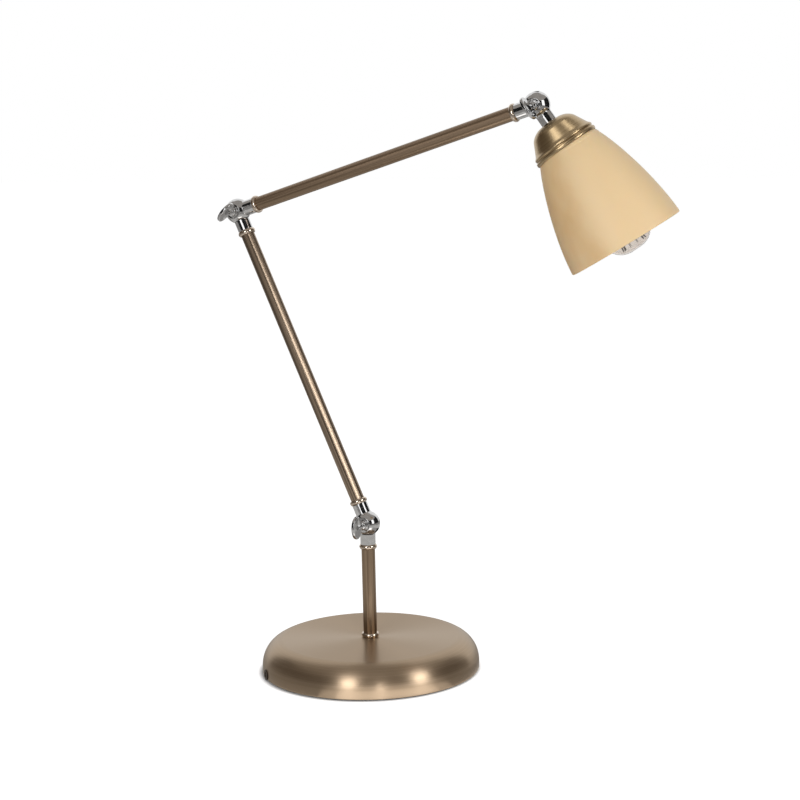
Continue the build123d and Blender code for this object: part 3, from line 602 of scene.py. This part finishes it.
# Lamp holder
# The dome screws on the neck's end, and the threaded body below it has a flange and carries the glass. Both
# are black moulded plastic, and the core inside them, which holds the contacts, is glazed porcelain.
holder_bore, holder_radius, flange_radius = 12.4, 13.3, 17
flange_top, flange_foot, holder_mouth = 35.5, 37.5, 83.3
holder_outline = [(holder_bore, flange_top), (flange_radius, flange_top), (flange_radius, flange_foot),
                  (holder_radius, flange_foot), (holder_radius, holder_mouth), (holder_bore, holder_mouth)]
holder = turned(holder_outline, {1: (0.3, 3), 4: (0.3, 3)}, 72)
thread_pitch, thread_turns, thread_steps = 2.0, 19, 48
thread_outline = [(13.2, 43.4), (14, 44.2), (13.2, 45)]
thread = bmesh.new()
ridge = [thread.verts.new((radius, 0, height)) for radius, height in thread_outline]
ridge = [thread.edges.new((ridge[n - 1], ridge[n])) for n in range(3)]
bmesh.ops.spin(thread, geom=thread.verts[:] + ridge, cent=(0, 0, 0), axis=(0, 0, 1),
               dvec=(0, 0, thread_pitch / thread_steps), angle=2 * pi * thread_turns,
               steps=thread_steps * thread_turns)
bmesh.ops.holes_fill(thread, edges=thread.edges, sides=3)
bmesh.ops.recalc_face_normals(thread, faces=thread.faces)
join(holder, thread)
fit(holder, "holder_body", head, "head", "black_plastic", plastics["black"])
keep("holder_cap", plastics["black"])
porcelain, tree, shader, spot = finish("glazed porcelain", head)
glaze = grain(tree, spot, (0.25, 0.25, 0.25), 4.0)
tones(tree, glaze, (0.72, 0.69, 0.63), (0.82, 0.80, 0.75), shader.inputs["Base Color"])
levels(tree, glaze, 0.16, 0.26, shader.inputs["Roughness"])
keep("holder_core", porcelain)

# Glass shade
# A blown bell of opal glass, cased in sand colour with a random cloud of deeper tone. Painted shade deepens
# the colour towards one side. It is etched to a satin surface, with a ground and polished mouth. It hangs on
# the ring on one side, and so a little askew under the cap.
shade_sag, shade_seat, shade_shift = radians(4.2), 38.916, 1.6
shade_way = Matrix.Rotation(shade_sag, 3, head_across) @ head_way
shade_middle = head_pivot + (head_way * shade_seat + head_way.cross(head_across) * shade_shift) / 1000
shade = member(shade_middle, shade_way, head_across)
glass_hole, glass_thick, glass_mouth = 16.1, 3, 100.1
glass_outside = [(glass_hole, 0), (27.037, 0), (29, 8), (49.333, 51.85), (52.2, glass_mouth)]
glass_inside = [(49.2, glass_mouth), (46.566, 52.267), (26, 9), (24.9, glass_thick),
                (glass_hole, glass_thick)]
glass_rounds = {1: (8.2, 14), 3: (46.6, 40), 6: (46.4, 40), 2: (1.4, 6), 4: (1.3, 6), 5: (1.3, 6),
                8: (6.05, 10), 0: (0.4, 2), 9: (0.4, 2)}
glass = turned(glass_outside + glass_inside, glass_rounds, 160)
satin_glass, tree, shader, spot = finish("satin opal glass", shade)
# The sand colour deepens steadily along the glass's own X as painted shade, and the random cloud is added to
# it.
pale_sand, painted_shade_sand = (0.81, 0.60, 0.34), (0.72, 0.47, 0.22)
painted_shade_each_mm = 0.008
cloud = grain(tree, spot, (0.03, 0.03, 0.015), 3.0)
sides = tree.nodes.new("ShaderNodeSeparateXYZ")
tree.links.new(spot, sides.inputs["Vector"])
cloud_and_painted_shade = tree.nodes.new("ShaderNodeMath")
cloud_and_painted_shade.operation = "MULTIPLY_ADD"
cloud_and_painted_shade.inputs[1].default_value = painted_shade_each_mm
tree.links.new(sides.outputs["X"], cloud_and_painted_shade.inputs[0])
tree.links.new(cloud, cloud_and_painted_shade.inputs[2])
tones(tree, cloud_and_painted_shade.outputs["Value"], pale_sand, painted_shade_sand, shader.inputs["Base Color"], 0.5, 0.9)
etch = grain(tree, spot, (6.0, 6.0, 6.0), 3.0)
levels(tree, etch, 0.42, 0.55, shader.inputs["Roughness"])
relief(tree, shader, etch, 0.02, 0.4)
shader.inputs["Subsurface Weight"].default_value = 0.25
shader.inputs["Subsurface Radius"].default_value = (1.0, 0.6, 0.3)
shader.inputs["Subsurface Scale"].default_value = 0.004
fit(glass, "glass_shade", shade, "head", "amber_glass", satin_glass)

# Ring under the shade
# A ring moulded of the same black plastic, which screws up the holder's thread and carries the glass. Its rim
# is fluted for the fingers.
ring_bore, ring_rim, ring_collar = 14.05, 19.5, 15.6
ring_top, ring_step, ring_foot = 43.29, 45.29, 49.29
ring_steps, flute_every, flute_depth = 96, 4, 0.965
clamp_outline = [(ring_bore, ring_top), (ring_rim, ring_top), (ring_rim, ring_step), (ring_collar, ring_step),
                 (ring_collar, ring_foot), (ring_bore, ring_foot)]
clamp_ring = turned(clamp_outline, {1: (0.3, 2), 2: (0.5, 3), 3: (0.5, 3), 4: (0.3, 2)}, ring_steps)
flutes = [vert for vert in clamp_ring.verts if vert.co.xy.length > ring_rim - 0.4]
for vert in flutes:
    step = round(vert.co.xy.angle_signed(Vector((1, 0))) / (2 * pi / ring_steps))
    if step % flute_every == 0:
        vert.co.xy *= flute_depth
fit(clamp_ring, "shade_ring", head, "head", "black_plastic", plastics["black"])

# Bulb
# A round clear bulb on a screwed cap. The thin envelope is blown in one piece, a touch smoky, and inside it a
# long thin wire zigzags round a glass post.
clear_glass, tree, shader, spot = finish("clear bulb glass", head)
ripple = grain(tree, spot, (0.12, 0.12, 0.12), 2.0)
tones(tree, ripple, (0.79, 0.745, 0.70), (0.85, 0.805, 0.76), shader.inputs["Base Color"])
levels(tree, ripple, 0.0, 0.03, shader.inputs["Roughness"])
shader.inputs["Transmission Weight"].default_value = 1.0
shader.inputs["IOR"].default_value = 1.45
bulb_foot, bulb_tip, bulb_neck, bulb_radius = 83.5, 147.7, 8, 22.5
inner_tip, inner_neck, inner_radius = 146.9, 7.2, 21.7
bulb_outside = [(bulb_neck, bulb_foot), (bulb_neck, 100.98), (bulb_radius, 116.19), (bulb_radius, bulb_tip),
                (0, bulb_tip)]
bulb_inside = [(0, inner_tip), (inner_radius, inner_tip), (inner_radius, 116.51), (inner_neck, 101.3),
               (inner_neck, bulb_foot)]
bulb_rounds = {1: (12.0, 16), 2: (9.0, 14), 3: (18.5, 44), 6: (17.7, 44), 7: (8.67, 14), 8: (12.3, 16)}
bulb = turned(bulb_outside + bulb_inside, bulb_rounds, 192)
shown_bulb = fit(bulb, "bulb_glass", head, "head", "bulb_glass", clear_glass)
satin_metal, tree, shader, spot = finish("satin cap metal", head)
roll = grain(tree, round_marks(tree, spot), (1.5, 2.5, 0), 3.0)
tones(tree, roll, (0.55, 0.54, 0.50), (0.68, 0.67, 0.63), shader.inputs["Base Color"])
levels(tree, roll, 0.3, 0.42, shader.inputs["Roughness"])
shader.inputs["Metallic"].default_value = 1.0
keep("bulb_cap", satin_metal)

# Each point of the wire is (radius, height), by turns at the post and far out near the bulb's end.
strands, wire_radius, wire_points = 20, 0.6, ((4.5, 108.4), (11.0, 143.2))
wire = bpy.data.curves.new("wire", "CURVE")
wire.dimensions = "3D"
wire.bevel_depth = wire_radius
wire.bevel_resolution = 2
line = wire.splines.new("POLY")
line.points.add(strands - 1)
line.use_cyclic_u = True
for strand, point in enumerate(line.points):
    heading = 2 * pi * strand / strands
    reach, height = wire_points[strand % 2]
    point.co = (reach * cos(heading), reach * sin(heading), height, 1)
wire_blank = bpy.data.objects.new("wire", wire)
bpy.context.scene.collection.objects.link(wire_blank)
wire_mesh = bpy.data.meshes.new_from_object(wire_blank.evaluated_get(bpy.context.evaluated_depsgraph_get()))
bpy.data.objects.remove(wire_blank)
bpy.data.curves.remove(wire)
post_flare, post_radius, button_radius = 5.5, 2.4, 4.85
flare_top, post_top, button_top = 86.5, 108.2, 109.4
post_outline = [(0, bulb_foot), (post_flare, bulb_foot), (post_radius, flare_top), (post_radius, post_top),
                (button_radius, post_top), (button_radius, button_top), (0, button_top)]
post = turned(post_outline, {2: (1.2, 4), 4: (0.3, 2), 5: (0.3, 2)}, 48, closed=False)
for face in post.faces:
    face.material_index = 1
post.from_mesh(wire_mesh)
bpy.data.meshes.remove(wire_mesh)
dark_wire, tree, shader, spot = finish("dark wire", head)
scale = grain(tree, spot, (1.2, 1.2, 1.2), 3.0)
tones(tree, scale, (0.035, 0.028, 0.022), (0.10, 0.08, 0.06), shader.inputs["Base Color"])
levels(tree, scale, 0.35, 0.5, shader.inputs["Roughness"])
shader.inputs["Metallic"].default_value = 0.8
shown_filament = fit(post, "bulb_filament", head, "head", "filament", dark_wire, clear_glass)

# Floor, light and camera
# A white floor that runs out into a white background, with soft boxes over it, and cloths that show only in
# mirrors and stand in for a dim room. The camera stands where the picture was taken from.
floor_reach = 12
floor_form = bmesh.new()
bmesh.ops.create_grid(floor_form, x_segments=1, y_segments=1, size=floor_reach)
floor_mesh = bpy.data.meshes.new("floor")
floor_form.to_mesh(floor_mesh)
floor_form.free()
floor = bpy.data.objects.new("floor", floor_mesh)
bpy.context.scene.collection.objects.link(floor)
white_floor = bpy.data.materials.new("white floor")
white_floor.use_nodes = True
tree = white_floor.node_tree
shader = tree.nodes["Principled BSDF"]
shader.inputs["Base Color"].default_value = (0.9, 0.9, 0.9, 1)
shader.inputs["Roughness"].default_value = 0.9
shader.inputs["Specular IOR Level"].default_value = 0.0
shader.inputs["Emission Color"].default_value = (1, 1, 1, 1)
floor_mesh.materials.append(white_floor)


# Is 1 for what the camera sees, also in a mirror or through glass, and 0 for light that falls on the lamp.
def looked_at(tree):
    rays = tree.nodes.new("ShaderNodeLightPath")
    seen = tree.nodes.new("ShaderNodeMath")
    seen.operation = "MAXIMUM"
    tree.links.new(rays.outputs["Is Camera Ray"], seen.inputs[0])
    tree.links.new(rays.outputs["Is Glossy Ray"], seen.inputs[1])
    through = tree.nodes.new("ShaderNodeMath")
    through.operation = "MAXIMUM"
    tree.links.new(seen.outputs["Value"], through.inputs[0])
    tree.links.new(rays.outputs["Is Transmission Ray"], through.inputs[1])
    return through.outputs["Value"]


# The floor is lifted to white, apart from a narrow ring round the base. The ring is set a little off centre
# and left unlifted. There the real shadow shows, and the ring is also darker than the open floor as painted
# shadow.
shadow_shift = (0.0012, 0.0006, 0)
shadow_from, shadow_to, floor_lift = 0.099, 0.1035, 0.75
coordinates = tree.nodes.new("ShaderNodeTexCoord")
mapping = tree.nodes.new("ShaderNodeMapping")
mapping.inputs["Location"].default_value = shadow_shift
away = tree.nodes.new("ShaderNodeVectorMath")
away.operation = "LENGTH"
open_floor = tree.nodes.new("ShaderNodeMapRange")
open_floor.inputs["From Min"].default_value = shadow_from
open_floor.inputs["From Max"].default_value = shadow_to
open_floor.inputs["To Max"].default_value = floor_lift
lift = tree.nodes.new("ShaderNodeMath")
lift.operation = "MULTIPLY"
tree.links.new(coordinates.outputs["Object"], mapping.inputs["Vector"])
tree.links.new(mapping.outputs["Vector"], away.inputs[0])
tree.links.new(away.outputs["Value"], open_floor.inputs["Value"])
tree.links.new(looked_at(tree), lift.inputs[0])
tree.links.new(open_floor.outputs["Result"], lift.inputs[1])
tree.links.new(lift.outputs["Value"], shader.inputs["Emission Strength"])

room_light, background_white = 0.31, 1.0
world = bpy.data.worlds.new("studio")
bpy.context.scene.world = world
world.use_nodes = True
tree = world.node_tree
background = tree.nodes["Background"]
background.inputs["Color"].default_value = (1, 1, 1, 1)
strength = tree.nodes.new("ShaderNodeMapRange")
strength.inputs["To Min"].default_value = room_light
strength.inputs["To Max"].default_value = background_white
tree.links.new(looked_at(tree), strength.inputs["Value"])
tree.links.new(strength.outputs["Result"], background.inputs["Strength"])


# Way from the lamp to a light, in degrees round from the front and up from the floor.
def direction(azimuth, elevation):
    azimuth, elevation = radians(azimuth), radians(elevation)
    return Vector((sin(azimuth) * cos(elevation), -cos(azimuth) * cos(elevation), sin(elevation)))


# Lets a light or a cloth reach these pieces only, or all but these.
def reach_pieces(light, pieces, state):
    reached = bpy.data.collections.new(light.name)
    for piece in pieces:
        reached.objects.link(piece)
    for entry in reached.collection_objects:
        entry.light_linking.link_state = state
    light.light_linking.receiver_collection = reached


# Each light has its aim, its way in degrees, its width, height and power, whether mirrors show it, and the
# pieces that it reaches or leaves out. The chrome and the bulb get dimmer boxes than the brass, and each arm
# and the cap have their own. A light rises only so far over its aim that it stays under the ceiling cloth.
light_distance, light_rise = 2.4, 2.0
low, high = Vector((0.02, 0, 0.1)), Vector((0.19, 0.03, 0.48))
lower_tube, upper_tube = tubes["lower_arm_tube"], tubes["upper_arm_tube"]
bright = chromed + [shown_bulb, shown_filament]
for name, aim, azimuth, elevation, wide, tall, watts, mirrored, pieces, state in (
    ("soft box left", low, 2.6, 18.7, 0.6, 1.1, 15, True, bright + [lower_tube], "EXCLUDE"),
    ("soft box right", low, 81, 20.7, 0.6, 1.1, 15, True, bright + [lower_tube], "EXCLUDE"),
    ("low box", low, 36, 1.5, 0.25, 0.3, 3.5, True, bright, "EXCLUDE"),
    ("dim box left", low, 2.6, 18.7, 0.9, 1.5, 7.5, True, bright, "INCLUDE"),
    ("dim box right", low, 81, 20.7, 0.9, 1.5, 7.5, True, bright, "INCLUDE"),
    ("lower arm panel", low, 50, 22, 1.0, 0.9, 23, True, [lower_tube], "INCLUDE"),
    ("upper arm panel", high, -33, 13, 0.5, 0.4, 1.7, True, [upper_tube], "INCLUDE"),
    ("top box front", high, -30, 43, 0.8, 0.85, 6.0, True, [shown_cap], "INCLUDE"),
    ("top box back", high, 54.5, 80.9, 0.5, 0.6, 2.3, True, [shown_cap], "INCLUDE"),
    ("front light", high, 38, 6, 0.9, 0.9, 6.5, False, bright, "EXCLUDE"),
):
    box = bpy.data.lights.new(name, "AREA")
    box.shape = "RECTANGLE"
    box.size = wide
    box.size_y = tall
    box.energy = watts
    light = bpy.data.objects.new(name, box)
    stand = aim + direction(azimuth, elevation) * min(light_distance, light_rise / sin(radians(elevation)))
    turn = (aim - stand).to_track_quat("-Z", "Y").to_matrix().to_4x4()
    light.matrix_world = Matrix.Translation(stand) @ turn
    light.visible_glossy = mirrored
    bpy.context.scene.collection.objects.link(light)
    reach_pieces(light, pieces, state)


# A cloth round the lamp that only mirrors show. Its edge is given as two (radius, height), and it is hung
# from one heading to another, in degrees round from the front.
def hang(name, edge, first, last, glow_colour):
    dim_cloth = bpy.data.materials.new(name)
    dim_cloth.use_nodes = True
    tree = dim_cloth.node_tree
    glow = tree.nodes.new("ShaderNodeEmission")
    glow.inputs["Color"].default_value = (*glow_colour, 1)
    tree.links.new(glow.outputs["Emission"], tree.nodes["Material Output"].inputs["Surface"])
    cloth = bmesh.new()
    cloth.edges.new([cloth.verts.new((0, -radius, height)) for radius, height in edge])
    bmesh.ops.rotate(cloth, cent=(0, 0, 0), matrix=Matrix.Rotation(radians(first), 3, "Z"), verts=cloth.verts)
    bmesh.ops.spin(cloth, geom=cloth.verts[:] + cloth.edges[:], cent=(0, 0, 0), axis=(0, 0, 1),
                   angle=radians(last - first), steps=48, use_merge=last - first == 360)
    cloth_mesh = bpy.data.meshes.new(name)
    cloth.to_mesh(cloth_mesh)
    cloth.free()
    cloth_mesh.materials.append(dim_cloth)
    hanging = bpy.data.objects.new(name.replace(" ", "_"), cloth_mesh)
    bpy.context.scene.collection.objects.link(hanging)
    hanging.visible_camera = False
    hanging.visible_diffuse = False
    hanging.visible_transmission = False
    hanging.visible_shadow = False
    return hanging


# The curtain leaves the back open, where the ceiling is shorter too. It gives no light to the chrome, which
# mirrors black there.
room_radius, room_height, room_back = 3.2, 2.6, 1.3
open_from, open_to = 152, 252
curtain_glow, ceiling_glow = (0.12, 0.10, 0.082), (0.36, 0.335, 0.31)
curtain = hang("dark curtain", ((room_radius, 0.0), (room_radius, room_height)), open_to - 360, open_from,
               curtain_glow)
reach_pieces(curtain, chromed, "EXCLUDE")
ceiling_middle = (0.01, room_height)
hang("dark ceiling", (ceiling_middle, (room_radius, room_height)), open_to - 360, open_from, ceiling_glow)
hang("dark ceiling back", (ceiling_middle, (room_back, room_height)), open_from, open_to, ceiling_glow)

# The mats lie just over the floor, from the base outwards. The skirt's front mirrors the pale one.
mat_height, mat_green, mat_blue = 0.0005, 0.97, 0.935
mat_radii = (0.103, 0.22, 0.6, room_radius)
base_edge, near_edge, middle_edge, far_edge = [(radius, mat_height) for radius in mat_radii]
for name, first, last, glow in (
    ("dark mat left", -150, -2, 0.40),
    ("dim mat left", -2, 8, 1.1),
    ("pale mat", 8, 66, 1.9),
    ("dim mat right", 66, 76, 1.1),
    ("dark mat right", 76, 210, 0.38),
):
    hang(name, (base_edge, near_edge), first, last, (glow, glow * mat_green, glow * mat_blue))
hang("grey mat", (near_edge, middle_edge), 0, 360, (0.56, 0.55, 0.53))
hang("dark mat", (middle_edge, far_edge), 0, 360, (0.30, 0.29, 0.28))

camera = bpy.data.cameras.new("camera")
camera.sensor_width = 36
camera.lens = 82.5136
view = bpy.data.objects.new("camera", camera)
bpy.context.scene.collection.objects.link(view)
view_azimuth, view_elevation, view_roll = 0.4649, 0.1523, -0.0227
eye_right, eye_up, eye_back = 0.0265973, 0.2476728, 1.6973106
back = Vector((sin(view_azimuth) * cos(view_elevation), -cos(view_azimuth) * cos(view_elevation),
               sin(view_elevation)))
right = Vector((cos(view_azimuth), sin(view_azimuth), 0))
up = back.cross(right)
right, up = cos(view_roll) * right + sin(view_roll) * up, cos(view_roll) * up - sin(view_roll) * right
eye = eye_right * right + eye_up * up + eye_back * back
view.matrix_world = Matrix.Translation(eye) @ Matrix((right, up, back)).transposed().to_4x4()
bpy.context.scene.camera = view
bpy.context.scene.view_settings.view_transform = "Standard"
